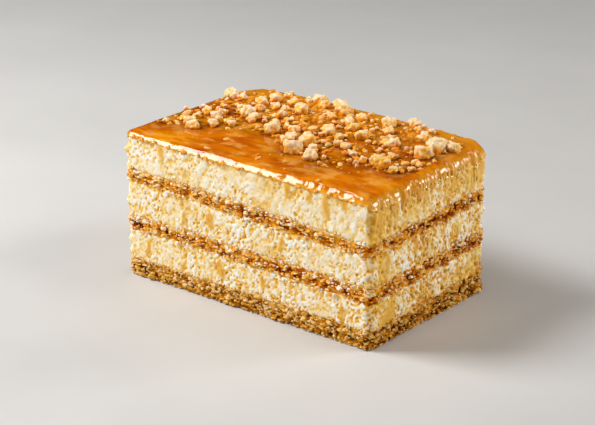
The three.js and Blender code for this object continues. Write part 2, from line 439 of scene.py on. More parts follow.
def nut_finish():
    """Nut from golden to pale, glossy amber where syrup coats it."""
    finish = Finish("chopped_nut", Subsurface_Weight=0.5, Subsurface_Scale=0.8 * MM,
                    Subsurface_Radius=(1.0, 0.55, 0.2), Specular_IOR_Level=0.1)
    tone = finish.ramp(finish.attribute("tone"), [
        (0.0, (230, 128, 0)), (0.5, (250, 190, 66)), (1.0, (251, 222, 188))])
    coat = finish.attribute("coat")
    finish.feed("Base Color", finish.blend(coat, tone, (234, 146, 20)))
    finish.feed("Roughness", finish.range(coat, 0.0, 1.0, to_low=0.5, to_high=0.12))
    finish.bump(finish.noise(0.45, detail=2.0), depth=0.12, strength=0.6)
    return finish.material


def syrup_finish():
    """Beads of syrup, pale or amber."""
    finish = Finish("run_syrup", Roughness=0.05, IOR=1.45, Subsurface_Weight=0.3,
                    Subsurface_Scale=1.0 * MM, Subsurface_Radius=(1.0, 0.5, 0.1))
    pale = finish.ramp(finish.noise(3.0), [(0.3, (242, 176, 64)), (0.7, (250, 206, 120))])
    finish.feed("Base Color", finish.blend(finish.attribute("amber"), pale, (248, 162, 12)))
    return finish.material


def floor_finish():
    """A pale, dull floor."""
    finish = Finish("pale_floor", Roughness=0.6)
    tone = finish.ramp(finish.noise(60.0), [(0.3, (206, 204, 201)), (0.7, (212, 210, 207))])
    finish.feed("Base Color", tone)
    return finish.material


# Ice cream

CREAM_STEP = 0.24  # between points round the plan
CREAM_ROWS = 40
KNIFE_WAY = np.array([0.5, -0.4, 0.77])  # in which the knife drew the ice cream out
KNIFE_SQUEEZE = 0.5

# Runs of syrup on the front: x, top and foot in height, width
FRONT_RUNS = (
    (-22.6, 25.6, 20.6, 1.6), (-9.1, 13.6, 7.4, 1.9), (-37.3, 12.6, 6.8, 1.7), (7.0, 13.4, 7.8, 1.4),
    (36.0, 12.6, 6.0, 1.8), (14.0, 27.4, 20.6, 1.8), (16.5, 44.0, 38.2, 2.2), (24.5, 44.0, 39.0, 1.8),
    (30.0, 44.0, 36.2, 2.2), (37.0, 44.0, 39.6, 1.9), (-12.0, 27.6, 21.6, 2.4), (-31.0, 44.0, 39.6, 1.6))

# Runs of syrup on the +X side: y, top and foot in height, width
RIGHT_RUNS = (
    (-8.0, 29.8, 22.2, 2.2), (5.5, 30.2, 23.6, 1.9), (-19.0, 15.0, 6.6, 2.2), (-22.0, 9.8, 4.4, 5.0),
    (19.0, 40.6, 33.2, 1.7), (-24.0, 43.4, 34.4, 2.4), (-17.5, 43.4, 35.8, 2.0), (-10.5, 43.4, 37.6, 1.9),
    (-3.0, 43.4, 36.4, 2.2), (3.5, 43.4, 38.0, 1.7), (10.0, 43.4, 36.0, 2.0), (23.5, 43.4, 37.2, 1.9),
    (-21.0, 27.8, 20.2, 2.6), (13.0, 15.0, 8.6, 1.7))
RUN_FACE_DEPTH = 1.5  # how far in from its face a point still counts as on it
RUN_HALF_WIDTHS = (0.9, 0.525)  # at the foot and at the top, over the width
RUN_EDGE = (-0.3, 1.1)

# A run stands out evenly, soaks the ice cream and fills its pores
RUN = {"out": 0.12, "evens": 0.8, "soaks": 0.95, "pore": 0.56, "fills": 0.65}

# Where looks come in below the rim, in height, and at the near end of the +X side, in y
SOAKED_RIM = (32.0, 42.0)
RIBBED_RIM = (35.0, 42.0)
BLOTCHED_RIM = (36.0, 43.5)
DRIBBLED_RIM = (37.0, 43.0)
NEAR_END = (-26.0, -12.0)

# How far syrup has soaked the +X side, then all sides, and how it fills the pores
SIDE_SOAK = {"plain": 0.5, "cloud": 1.1, "streak": 0.2, "rim_streak": 0.7, "near_end": 0.5, "rim": 0.4}
SOAK = {"patch": 0.65, "dribble": 0.45, "pore": 0.42, "fills": 0.35}
BLOTCHES = ((0.7, 3.8, 33), (0.5, 9.0, 32))
RIM_BLOTCHES = 0.1

# Relief in millimetres; pairs are for the other sides and for the +X side
LUMPS = (0.2, 0.5)
RELIEF = {"strands": 0.12, "pores": -0.2, "holes": -0.3, "ribs": 0.32}
SCALLOPS = {"back": 0.5, "elsewhere": 1.1}
CORNER_TURN = 0.25  # how far a way out has turned from the axes where a corner is in full
ROUGH_PATCHES = (0.55, 1.15)  # roughness in smooth patches and between them
ROUGHER_SIDE = (1.0, 1.4)
HOLE_SIZES = (0.08, 0.25)
LARGER_HOLES = (1.0, 1.5)
HOLE_EDGE = (0.3, 1.1)

# How deep in a pore the ice cream looks
PORE = {"plain": 0.31, "pores": 0.88, "holes": 0.5, "strands": -0.53, "lumps": -0.24}

# At the edges of a layer the ice cream is drawn in and shows crumbs of the wafers
CREAM_EDGE = {"drawn_in": 0.2, "width": 0.4, "crumbs": 0.95, "crumbs_width": 0.8}


def run_at(points):
    """How far inside a run of syrup each point is, from 0 to 1: runs are wider at the foot."""
    inside = np.zeros(len(points))
    on_front = points[:, 1] < RUN_FACE_DEPTH - HALF_DEPTH
    on_right = points[:, 0] > HALF_LENGTH - RUN_FACE_DEPTH
    for axis, on_face, runs in ((0, on_front, FRONT_RUNS), (1, on_right, RIGHT_RUNS)):
        wander = layered_noise(points, ((1.0, 2.5, 34 + axis), (0.5, 1.0, 36 + axis)))
        for place, high, low, width in runs:
            level = (points[:, 2] - low) / (high - low)
            across = (points[:, axis] + wander - place) / (width * mix(*RUN_HALF_WIDTHS, level))
            shape = 1.0 - across**2 - (2.0 * level - 1.0) ** 4
            inside = np.maximum(inside, np.where(on_face, ramp(*RUN_EDGE, shape), 0.0))
    return inside


def soak_at(points, ways):
    """How far syrup has soaked the ice cream, from 0 to 1.

    It is most on the +X side, at its near end and below the rim. Elsewhere there are patches and dribbles.
    """
    y, z = points[:, 1], points[:, 2]
    streak = noise(points * UPRIGHT, 1.7, 30)
    cloud = noise(points * TALL, 3.8, 31)
    near_end = 1.0 - ramp(*NEAR_END, y)
    rim = ramp(*SOAKED_RIM, z)
    wet = weighted(SIDE_SOAK, cloud=cloud, streak=streak, rim_streak=rim * streak, near_end=near_end, rim=rim)
    blotch = layered_noise(points, BLOTCHES) + RIM_BLOTCHES * ramp(*BLOTCHED_RIM, z)
    patches = SOAK["patch"] * ramp(0.1, 0.65, blotch)
    dribbles = SOAK["dribble"] * ramp(0.2, 0.7, streak) * ramp(*DRIBBLED_RIM, z)
    return np.clip(np.maximum.reduce([syrup_side(ways) * wet, patches, dribbles]), 0.0, 1.0)


def pits_at(points, side):
    """How far inside a small pore and a larger hole each point is, from 0 to 1."""
    gap, chance = scattered(points, 0.95, 13)
    pores = ramp(0.15, 0.85, chance) * (1.0 - ramp(0.12, 0.5, gap))
    gap, chance = scattered(points, 2.3, 21)
    far = mix(*HOLE_SIZES, chance) * mix(*LARGER_HOLES, side)
    holes = 1.0 - ramp(HOLE_EDGE[0] * far, HOLE_EDGE[1] * far, gap)
    return pores, holes


def corner_relief(points, ways):
    """How far the upright corners stand out in scallops, shallower at the back."""
    turned = np.clip((1.0 - np.abs(ways).max(axis=1)) / CORNER_TURN, 0.0, 1.0)
    at_back_corner = (points[:, 0] < 0.0) & (points[:, 1] > 0.0)
    depth = np.where(at_back_corner, SCALLOPS["back"], SCALLOPS["elsewhere"])
    return depth * turned * noise(points * LEVEL, 1.8, 19)


def cream_relief(points, ways, roughness):
    """How far the ice cream stands out and how deep in a pore each point is.

    It is smooth in patches and rough between them, most on the +X side, and drawn out along the knife's way.
    """
    side = syrup_side(ways)
    drawn = points - KNIFE_SQUEEZE * np.outer(points @ KNIFE_WAY, KNIFE_WAY)
    lumps = (noise(points, 3.0, 11) + noise(drawn, 1.2, 12)) / 2
    patches = ramp(-0.5, 0.6, noise(points, 7.0, 17))
    rough = roughness * mix(*ROUGH_PATCHES, patches) * mix(*ROUGHER_SIDE, side)
    strands = rough * noise(drawn, 0.55, 14)
    pores, holes = (rough * pit for pit in pits_at(points, side))
    ribs = side * ramp(*RIBBED_RIM, points[:, 2]) * noise(points * UPRIGHT, 1.1, 16)
    out = mix(*LUMPS, side) * lumps + corner_relief(points, ways)
    out += weighted(RELIEF, strands=strands, pores=pores, holes=holes, ribs=ribs)
    pore = weighted(PORE, pores=pores, holes=holes, strands=strands, lumps=lumps)
    return out, np.clip(pore, 0.0, 1.0)


def add_cream(name, layer, material):
    """A layer of ice cream between two meetings, with runs of syrup over it."""
    columns = round(PLAN_LENGTH / CREAM_STEP)
    points, ways, shares = band_points(layer["foot"], layer["top"], columns, CREAM_ROWS)
    run = run_at(points)
    soak = np.maximum(soak_at(points, ways), RUN["soaks"] * run)
    out, pore = cream_relief(points, ways, layer["roughness"])
    out = mix(out, RUN["out"], RUN["evens"] * run)
    pore = mix(pore, SOAK["pore"], SOAK["fills"] * soak)
    pore = mix(pore, RUN["pore"], RUN["fills"] * run)
    edge = np.minimum(shares, 1.0 - shares) * (points[-1, 2] - points[0, 2])
    out -= CREAM_EDGE["drawn_in"] * hump(edge, CREAM_EDGE["width"])
    crumbs = ramp(0.05, 0.5, noise(points, 0.8, 18)) * hump(edge, CREAM_EDGE["crumbs_width"])
    pore = np.maximum(pore, CREAM_EDGE["crumbs"] * crumbs)
    points[:, :2] += out[:, None] * ways
    return add_piece(name, material, [closed_band(points, columns, {"pore": pore, "soak": soak})])


# Broken bits: crumbs and nuts

BLUNTNESS = 9  # how sharply the faces of a bit meet
FAINTEST = 1e-12  # keeps a direction that no face looks in from reaching out for ever
CRUMB_FACES = 9
CRUMB_FACE_PLACES = (0.55, 1.0)  # from the middle, over half the size
CRUMB_LONGEST = 0.75  # from the middle, over the size


def ball(level):
    """Directions from the middle of an icosphere to its points, and its triangles."""
    mesh = bmesh.new()
    bmesh.ops.create_icosphere(mesh, subdivisions=level, radius=1.0)
    directions = np.array([vertex.co.normalized() for vertex in mesh.verts])
    triangles = np.array([[vertex.index for vertex in face.verts] for face in mesh.faces])
    mesh.free()
    return directions, triangles


def reach(ways, fars, directions):
    """How far each bit with these faces reaches in every direction: a row for each bit."""
    facing = np.maximum(0.0, np.einsum("bfc,dc->bfd", ways, directions))
    nearness = np.sum((facing / fars[:, :, None]) ** BLUNTNESS, axis=1)
    return np.maximum(nearness, FAINTEST) ** (-1.0 / BLUNTNESS)


def joined(centres, offsets, triangles):
    """Points and triangles of bits with the same triangles, from their middles and points' offsets."""
    count, size = offsets.shape[:2]
    points = centres[:, None, :] + offsets
    faces = triangles[None] + (np.arange(count) * size)[:, None, None]
    return points.reshape(-1, 3), faces.reshape(-1, 3).tolist()


def crumb_offsets(draws, sizes, directions):
    """Offsets of the points of crumbs with random faces, the largest way across about the size."""
    ways = draws.normal(size=(len(sizes), CRUMB_FACES, 3))
    ways /= np.linalg.norm(ways, axis=2, keepdims=True)
    fars = sizes[:, None] / 2 * draws.uniform(*CRUMB_FACE_PLACES, (len(sizes), CRUMB_FACES))
    reaches = np.minimum(reach(ways, fars, directions), CRUMB_LONGEST * sizes[:, None])
    return reaches[:, :, None] * directions


# Wafers

CORE_STEP = 0.38  # between points round the plan
CORE_ROWS = 13

# Kinds of crumb: detail of the ball, crumbs on a square millimetre, sizes, and shares of the thickness
CRUMB_KINDS = (
    {"detail": 2, "density": 0.42, "sizes": (0.8, 1.7), "levels": (0.0, 1.0)},
    {"detail": 1, "density": 1.6, "sizes": (0.4, 1.0), "levels": (-0.12, 1.15)},
    {"detail": 1, "density": 0.3, "sizes": (0.35, 0.9), "levels": (1.0, 1.4)},
)
CRUMB_PLACES = 4000  # round the plan
CRUMB_OUT = (-0.55, 0.25)  # middles of crumbs, from the side
CRUMB_SUNK = 0.2  # over the size
CRUMB_STRETCH = {"along": 1.35, "up": 0.8}

# Tones from 0 to 1: of crumbs, which vary with how far out they are, sunk ones darker as painted shade, and
# of the core between them, low as painted shade in the gaps and darker in its hollows; both are painted
# darker on the +X side as shade
CRUMB_TONE = {"plain": 0.69, "side": -0.11}
CRUMB_VARIES = {"plain": 0.16, "out": 0.4, "draw": 0.12, "dark": -0.2, "mottle": 0.35}
# Small pale crumbs: flecks of cream that also stand in for painted glints
PALE_CRUMBS = {"tone": 0.93, "share": 0.08, "largest": 0.75}
CORE_TONE = {"plain": 0.34, "rough": 0.6, "dark": -0.4, "edge": 0.35, "side": -0.14}

# The core's relief in millimetres, and the dark line, a darker middle of the wafer with painted shade in its
# gaps: its width in the crumbs and in the core, and its gaps
CORE_RELIEF = {"plain": -0.45, "rough": 0.55, "dark": -0.35}
DARK_WIDTHS = {"crumbs": 0.25, "core": 0.3}
DARK_GAPS = (-0.3, 0.5)


def crumb_tones(draws, wafer, level, out, sizes, way):
    """Tones of crumbs: darker along the wafer's dark line, with painted shade there, and darker when sunk and
    on the +X side as painted shade, with a few small pale ones.
    """
    dark = hump(level - wafer["darkest"], DARK_WIDTHS["crumbs"])
    # Painted shade: crumbs that are sunk, near the dark line or on the +X side come out darker
    varied = weighted(CRUMB_VARIES, out=out, draw=draws.normal(size=len(sizes)), dark=dark)
    tone = weighted(CRUMB_TONE, side=syrup_side(way)) + wafer["contrast"] * varied
    pale = (draws.random(len(sizes)) < PALE_CRUMBS["share"]) & (sizes < PALE_CRUMBS["largest"])
    return np.where(pale, PALE_CRUMBS["tone"], tone)


def crumbs_on_side(draws, wafer, kind):
    """A group of crumbs of one kind strewn over a wafer's side, some past its edges."""
    spots, ways = plan(CRUMB_PLACES)
    thickness = np.mean(meeting_height(wafer["top"], spots) - meeting_height(wafer["foot"], spots))
    count = int(kind["density"] * PLAN_LENGTH * thickness)
    index = draws.integers(0, len(spots), count)
    at, way = spots[index], ways[index]
    level = draws.uniform(*kind["levels"], count)
    sizes = mix(*kind["sizes"], draws.random(count) ** 2)
    out = draws.uniform(*CRUMB_OUT, count) - CRUMB_SUNK * sizes
    heights = mix(meeting_height(wafer["foot"], at), meeting_height(wafer["top"], at), level)
    centres = np.column_stack([at + out[:, None] * way, np.maximum(heights, sizes / 2)])
    directions, triangles = ball(kind["detail"])
    offsets = crumb_offsets(draws, sizes, directions)
    along = np.stack([-way[:, 1], way[:, 0]], axis=1)
    stretch = np.einsum("bdc,bc->bd", offsets[:, :, :2], along) * (CRUMB_STRETCH["along"] - 1.0)
    offsets[:, :, :2] += stretch[:, :, None] * along[:, None, :]
    offsets[:, :, 2] *= CRUMB_STRETCH["up"]
    points, faces = joined(centres, offsets, triangles)
    tone = np.repeat(crumb_tones(draws, wafer, level, out, sizes, way), len(directions))
    tone += CRUMB_VARIES["mottle"] * wafer["contrast"] * noise(points, 0.6, 58)
    return points, faces, {"tone": np.clip(tone, 0.0, 1.0)}


def wafer_core(wafer):
    """A group for the rough crumb behind the loose crumbs, with a dark line and pale edges; its low tone is
    painted shade in the gaps, darker in its hollows and on the +X side.
    """
    columns = round(PLAN_LENGTH / CORE_STEP)
    points, ways, shares = band_points(wafer["foot"], wafer["top"], columns, CORE_ROWS)
    flakes = points * FLAKY
    salt, contrast = wafer["salt"], wafer["contrast"]
    rough = layered_noise(flakes, ((0.55, 1.4, salt), (0.35, 0.7, salt + 1)))
    gaps = ramp(*DARK_GAPS, noise(flakes, 1.6, salt + 2))
    dark = hump(shares - wafer["darkest"], DARK_WIDTHS["core"]) * gaps
    points[:, :2] += weighted(CORE_RELIEF, rough=rough, dark=dark)[:, None] * ways
    edge = (2.0 * shares - 1.0) ** 2
    # Painted shade: a dark core between the crumbs, darker in its hollows and on the +X side
    tone = weighted(CORE_TONE, rough=contrast * rough, dark=contrast * dark, edge=edge, side=syrup_side(ways))
    return closed_band(points, columns, {"tone": np.clip(tone, 0.0, 1.0)})


def add_wafer(name, wafer, material):
    """A wafer: its core, with loose crumbs all over its side."""
    draws = np.random.default_rng(wafer["salt"])
    crumbs = [crumbs_on_side(draws, wafer, kind) for kind in CRUMB_KINDS]
    return add_piece(name, material, [wafer_core(wafer), *crumbs], smooth=False)


# Nuts, by the rule of the solids

NUTS = {"chunks": 76, "bits": 58, "largest": 5.9, "smallest_chunk": 2.2, "smallest_bit": 1.3,
        "sunk": 0.2, "edge": 1.7, "squareness": 8, "closest": 0.78, "first_seed": 32110}
FRONT_LINE = {"y": -10.8, "swing": 5.2, "length": 58.0, "shift": 17.0}
THICKEST = {"x": -4.0, "y": 12.0, "spread": 26.0, "elsewhere": 0.55}
NUT_SIDES = ((0.95, 1.2), (0.7, 0.95), (0.62, 0.85))
NUT_TURNS = (0.35, 0.35, math.pi)  # at most, about the axes
BREAKS = {"count": 6, "nearest": 0.72, "farthest": 1.0, "lowest": -0.6, "highest": 0.95}

# Which of a nut's draws are for its place and its tone, and the first of those for its faces
NUT_DRAWS = {"x": 1, "y": 2, "chance": 3, "faces": 4, "tone": 40}

# The largest nuts have balls of more detail than the others
FINE_NUTS = 60
NUT_DETAILS = {"fine": 4, "coarse": 3, "crumbs": 2}

# Crumbly faces in millimetres, tones from 0 to 1 with painted light on top and painted shade in the creases,
# and the syrup that coats a nut's foot
NUT_ROUGH = {"plain": 0.4, "gap": -0.8, "grain": 0.3}
NUT_TONE = {"plain": 0.42, "own": 0.3, "rough": 1.1, "upward": 0.32}
NUT_COAT = {"most": 0.95, "heights": (0.1, 1.3), "uneven": 0.6}

# Small crumbs of nut
NUT_CRUMBS = {"count": 800, "seed": 8, "sizes": (0.5, 2.4), "flatness": 0.6, "on_bare_glaze": 0.05,
              "tones": (0.4, 0.9), "coat": 0.9, "coated": (0.05, 0.55)}


def draw(seed, number, low=0.0, high=1.0):
    """The number-th repeatable draw for a seed, from low to high."""
    value = math.sin(seed * 12.9898 + number * 78.233) * 43758.5453
    return mix(low, high, value - math.floor(value))


def nut_size(index):
    """Size of a nut by its place in the list: chunks first, then bits."""
    if index < NUTS["chunks"]:
        return mix(NUTS["largest"], NUTS["smallest_chunk"], math.sqrt(index / NUTS["chunks"]))
    share = math.sqrt((index - NUTS["chunks"]) / NUTS["bits"])
    return mix(NUTS["smallest_chunk"], NUTS["smallest_bit"], share)


def nuts_wanted(x, y):
    """How thick the nuts lie at a place, from 0 to 1: none before a wavy line and on the +X shoulder."""
    turn = 2 * math.pi * (x - FRONT_LINE["shift"]) / FRONT_LINE["length"]
    in_front = y < FRONT_LINE["y"] - FRONT_LINE["swing"] * math.cos(turn)
    if in_front or x > HALF_LENGTH - SHOULDER["round"]:
        return 0.0
    away = math.hypot(x - THICKEST["x"], y - THICKEST["y"])
    return mix(THICKEST["elsewhere"], 1.0, hump(away, THICKEST["spread"]))


def field_place(share_x, share_y):
    """A place in the field of nuts from two shares of -1 to 1, or None beyond its round corners."""
    if abs(share_x) ** NUTS["squareness"] + abs(share_y) ** NUTS["squareness"] >= 1.0:
        return None
    return share_x * (HALF_LENGTH - NUTS["edge"]), share_y * (HALF_DEPTH - NUTS["edge"])


def nut_places():
    """Where the nuts lie, with their sizes and seeds, the largest first."""
    places = []
    for seed in itertools.count(NUTS["first_seed"]):
        if len(places) == NUTS["chunks"] + NUTS["bits"]:
            return places
        place = field_place(draw(seed, NUT_DRAWS["x"], -1.0), draw(seed, NUT_DRAWS["y"], -1.0))
        if place is None or draw(seed, NUT_DRAWS["chance"]) >= nuts_wanted(*place):
            continue
        size = nut_size(len(places))
        if all(math.dist(place, other[:2]) > NUTS["closest"] * (size + other[2]) / 2 for other in places):
            places.append((*place, size, seed))


def nut_faces(size, seed):
    """Ways and distances of a nut's faces: a tilted box, and breaks across it."""
    numbers = itertools.count(NUT_DRAWS["faces"])
    turns = [draw(seed, next(numbers), -most, most) for most in NUT_TURNS]
    tilt = Euler(turns, "XYZ").to_matrix()
    ways, fars = [], []
    for side, limits in enumerate(NUT_SIDES):
        way = tilt.col[side]
        far = draw(seed, next(numbers), *limits)
        ways += [way, -way]
        fars += [far, far]
    for _ in range(BREAKS["count"]):
        rise = draw(seed, next(numbers), BREAKS["lowest"], BREAKS["highest"])
        angle = draw(seed, next(numbers), -math.pi, math.pi)
        level = math.sqrt(1.0 - rise * rise)
        ways.append((level * math.cos(angle), level * math.sin(angle), rise))
        fars.append(draw(seed, next(numbers), BREAKS["nearest"], BREAKS["farthest"]))
    return np.array([list(way) for way in ways]), size / 2 * np.array(fars)


def nut_group(places, detail):
    """A group of crumbly nuts on balls of one detail, painted lighter on top and darker in the creases, and
    coated with syrup at the foot.
    """
    directions, triangles = ball(detail)
    faces = [nut_faces(size, seed) for _, _, size, seed in places]
    ways, fars = np.array([face[0] for face in faces]), np.array([face[1] for face in faces])
    x, y, sizes, seeds = np.array(places).T
    top = glaze_top(x, y)
    down = np.array([[0.0, 0.0, -1.0]])
    centres = np.column_stack([x, y, top - NUTS["sunk"] * sizes + reach(ways, fars, down)[:, 0]])
    offsets = reach(ways, fars, directions)[:, :, None] * directions
    points, triangles = joined(centres, offsets, triangles)
    outward = np.tile(directions, (len(places), 1))
    gap, _ = scattered(points, 1.4, 71)
    rough = weighted(NUT_ROUGH, gap=gap, grain=noise(points, 0.6, 73))
    points += rough[:, None] * outward
    own = np.repeat([draw(seed, NUT_DRAWS["tone"]) for seed in seeds], len(directions))
    # Painted light and shade: the tone rises where a point faces up and where a lump stands out
    tone = weighted(NUT_TONE, own=own, rough=rough, upward=outward[:, 2])
    above = points[:, 2] - np.repeat(top, len(directions)) + NUT_COAT["uneven"] * noise(points, 1.0, 75)
    coat = NUT_COAT["most"] * (1.0 - ramp(*NUT_COAT["heights"], above))
    return points, triangles, {"tone": np.clip(tone, 0.0, 1.0), "coat": coat}


def nut_crumb_group():
    """A group of small crumbs among the nuts, a few on the bare glaze, most coated with syrup."""
    draws = np.random.default_rng(NUT_CRUMBS["seed"])
    count = NUT_CRUMBS["count"]
    spots = []
    while len(spots) < count:
        place = field_place(*draws.uniform(-1.0, 1.0, 2))
        if place and draws.random() < max(nuts_wanted(*place), NUT_CRUMBS["on_bare_glaze"]):
            spots.append(place)
    x, y = np.array(spots).T
    sizes = mix(*NUT_CRUMBS["sizes"], draws.random(count) ** 2)
    directions, triangles = ball(NUT_DETAILS["crumbs"])
    offsets = crumb_offsets(draws, sizes, directions)
    offsets[:, :, 2] *= NUT_CRUMBS["flatness"]
    points, triangles = joined(np.column_stack([x, y, glaze_top(x, y)]), offsets, triangles)
    tone = draws.uniform(*NUT_CRUMBS["tones"], count)
    coat = NUT_CRUMBS["coat"] * ramp(*NUT_CRUMBS["coated"], draws.random(count))
    values = {"tone": np.repeat(tone, len(directions)), "coat": np.repeat(coat, len(directions))}
    return points, triangles, values


def add_nuts(material, places):
    """All nuts and the small crumbs among them."""
    return add_piece("chopped_nuts", material, [
        nut_group(places[:FINE_NUTS], NUT_DETAILS["fine"]),
        nut_group(places[FINE_NUTS:], NUT_DETAILS["coarse"]),
        nut_crumb_group()])


# Glaze

GLAZE_STEP = 0.26  # between points round the plan
TOP_RINGS = 32
INNERMOST_RING = 0.015  # over the size of the top's edge
TOP_WAVES = ((0.1, 9.0, 45), (0.05, 3.0, 46))
# The top is painted paler towards the back: a painted reflection, kept in the thin value
PAINTED_BACK_SHEEN = {"most": 0.3, "y": (0.0, 30.0)}

# Drips below the glaze: half widths, lengths and the gaps between them
DRIPS = {"seed": 40, "half_widths": (0.4, 0.9), "lengths": (0.1, 1.5), "gaps": (0.9, 4.0)}
LONGER_DRIPS = (1.0, 2.5)  # on the other sides and on the +X side
HANGING = {"lengths": (0.1, 0.7), "amber": 0.45}

# The rim is at most a share of the glaze's thickness wide; the overhang is for the other sides and for +X
RIM = {"widest": 1.4, "of_thickness": 0.9, "uneven": 0.2, "overhang": (0.12, 0.05), "below_foot": 0.05}

# Steps out and down from the edge of the top to the glaze's foot, in shares: chamfered, and round on +X
RIM_STEPS = (
    ((0.1, 0.04), (0.12, 0.01)),
    ((0.36, 0.3), (0.38, 0.08)),
    ((0.66, 0.6), (0.62, 0.22)),
    ((0.92, 0.85), (0.82, 0.43)),
    ((1.0, 0.95), (0.95, 0.7)),
)
DRIP_STEPS = ((0.04, 0.3), (0.08, 0.75), (0.0, 0.95))  # out past the overhang, and the share of the way down
TUCKED_IN = {"edge": 0.05, "edge_on_side": 0.2, "under": 0.8, "end": 3.0}

# The rim wavers more where it is broken, which is from some way along the front
BROKEN = {"x": (12.0, 24.0), "side": 0.5}
WHOLE_RIM = ((0.11, 1.7, 43), (0.04, 0.8, 44))
BROKEN_RIM = ((0.32, 1.7, 43), (0.1, 0.8, 44))
WAVERS_UP = 0.7  # over how far it wavers out
GLAZE_RIBS = {"height": 0.45, "rings": 3}
THIN_RINGS = 5  # rings of the rim over which the glaze gets thin

# Round a nut the glaze rises and its colour is deep: thicker syrup, with painted shadow
NUT_FOOT = 0.42  # half width of a nut's foot, over its size
NUT_RISE = {"height": 0.22, "width": 0.5}
NUT_SHADES = ((0.9, 1.5), (0.4, 5.0))  # depths and widths


def drip_lengths(columns):
    """How far drips hang below the glaze at evenly spaced points round the plan."""
    draws = np.random.default_rng(DRIPS["seed"])
    at = np.arange(columns) * PLAN_LENGTH / columns
    lengths = np.zeros(columns)
    place = 0.0
    while place < PLAN_LENGTH:
        half_width = draws.uniform(*DRIPS["half_widths"])
        length = mix(*DRIPS["lengths"], draws.random() ** 3)
        away = np.abs((at - place + PLAN_LENGTH / 2) % PLAN_LENGTH - PLAN_LENGTH / 2)
        drip = length * np.sqrt(np.maximum(0.0, 1.0 - (away / half_width) ** 2))
        lengths = np.maximum(lengths, drip)
        place += draws.uniform(*DRIPS["gaps"])
    return lengths


def glaze_profile(spots, ways, drips):
    """Rings of the glaze from the edge of its top over the rim and in under it: out and height."""
    foot, crown = glaze_foot(*spots.T), glaze_top(*spots.T)
    side = syrup_side(ways)
    overhang = mix(*RIM["overhang"], side)
    width = np.minimum(RIM["widest"], RIM["of_thickness"] * (crown - foot))
    width += RIM["uneven"] * noise(np.column_stack([spots, crown]), 4.0, 41)
    inset = mix(width, SHOULDER["round"] - overhang, side)
    edge = foot - RIM["below_foot"] - drips * mix(*LONGER_DRIPS, side)
    rings = [(-inset, crown)]
    for chamfered, rounded in RIM_STEPS:
        out_share, down_share = (mix(flat, bent, side) for flat, bent in zip(chamfered, rounded))
        rings.append((mix(-inset, overhang, out_share), mix(crown, foot, down_share)))
    for out, down_share in DRIP_STEPS:
        rings.append((overhang + out, mix(foot, edge, down_share)))
    return rings + [
        (-TUCKED_IN["edge"] - TUCKED_IN["edge_on_side"] * side, edge),
        (np.full(len(spots), -TUCKED_IN["under"]), edge + RIM["below_foot"]),
        (np.full(len(spots), -TUCKED_IN["end"]), foot - RIM["below_foot"]),
    ]


def glaze_round_nuts(points, places):
    """How far the top of the glaze rises round the nuts, and how deep its colour is there, painted shadow
    included.
    """
    rise, deep_and_shadow = np.zeros(len(points)), np.zeros(len(points))
    for x, y, size, _ in places:
        away = np.hypot(points[:, 0] - x, points[:, 1] - y) - NUT_FOOT * size
        rise += NUT_RISE["height"] * hump(away, NUT_RISE["width"])
        for depth, width in NUT_SHADES:
            deep_and_shadow = np.maximum(deep_and_shadow, depth * hump(np.maximum(0.0, away), width))
    return rise, deep_and_shadow


def glaze_top_points(edge, places):
    """Rings of the glaze's top from its middle to its edge: points, a painted reflection that makes it paler
    towards the back, and how deep in colour, with painted shadow round the nuts.
    """
    rings = np.vstack([edge * share for share in np.linspace(INNERMOST_RING, 1.0, TOP_RINGS)])
    points = np.column_stack([rings, glaze_top(*rings.T)])
    # Painted reflection: the top gets paler towards the back
    thin_and_sheen = PAINTED_BACK_SHEEN["most"] * ramp(*PAINTED_BACK_SHEEN["y"], points[:, 1])
    rise, deep_and_shadow = glaze_round_nuts(points, places)
    points[:, 2] += rise + layered_noise(points, TOP_WAVES)
    return points, thin_and_sheen, deep_and_shadow


def glaze_rim_points(spots, ways, drips, profile, edge_sheen):
    """Rings over the rim and in under it, wavering and ribbed: points and how thin they are, with the painted
    reflection at the top's edge carried down.
    """
    side = syrup_side(ways)
    broken = np.maximum(ramp(*BROKEN["x"], spots[:, 0]) * (1.0 - side), BROKEN["side"] * side)
    ribs = GLAZE_RIBS["height"] * side * noise(np.column_stack([spots, np.zeros(len(spots))]), 1.5, 42)
    hanging = HANGING["amber"] * ramp(*HANGING["lengths"], drips)
    points, thin_and_sheen = [], []
    for number, (out, height) in enumerate(profile):
        ring = np.column_stack([spots + out[:, None] * ways, height])
        wobble = mix(layered_noise(ring, WHOLE_RIM), layered_noise(ring, BROKEN_RIM), broken)
        wobble += ribs * ramp(0, GLAZE_RIBS["rings"], number)
        ring[:, :2] += wobble[:, None] * ways
        ring[:, 2] += WAVERS_UP * wobble
        points.append(ring)
        thin_and_sheen.append(np.maximum(edge_sheen, ramp(0, THIN_RINGS, number) * (1.0 - hanging)))
    return np.vstack(points), np.concatenate(thin_and_sheen)


def add_glaze(material, places):
    """The glaze: its top round the nuts, its rim and its drips."""
    columns = round(PLAN_LENGTH / GLAZE_STEP)
    spots, ways = plan(columns)
    drips = drip_lengths(columns)
    (edge_out, _), *profile = glaze_profile(spots, ways, drips)
    top_points, top_sheen, top_deep_and_shadow = glaze_top_points(spots + edge_out[:, None] * ways, places)
    rim_points, rim_thin_and_sheen = glaze_rim_points(spots, ways, drips, profile, top_sheen[-columns:])
    points, faces, values = closed_band(np.vstack([top_points, rim_points]), columns, {
        "thin_and_sheen": np.append(top_sheen, rim_thin_and_sheen), "deep_and_shadow": np.append(top_deep_and_shadow, np.zeros(len(rim_points)))})
    points[-2, 2] = glaze_top(0.0, 0.0)  # the middle of the top
    outward_faces = [face[::-1] for face in faces]  # the rings run from the top down
    return add_piece("glaze_coat", material, [(points, outward_faces, values)])


# Beads of syrup

BEADS_SEED = 60
BEAD_DETAIL = 2
BEAD_SHORTEST = 0.7  # height over width

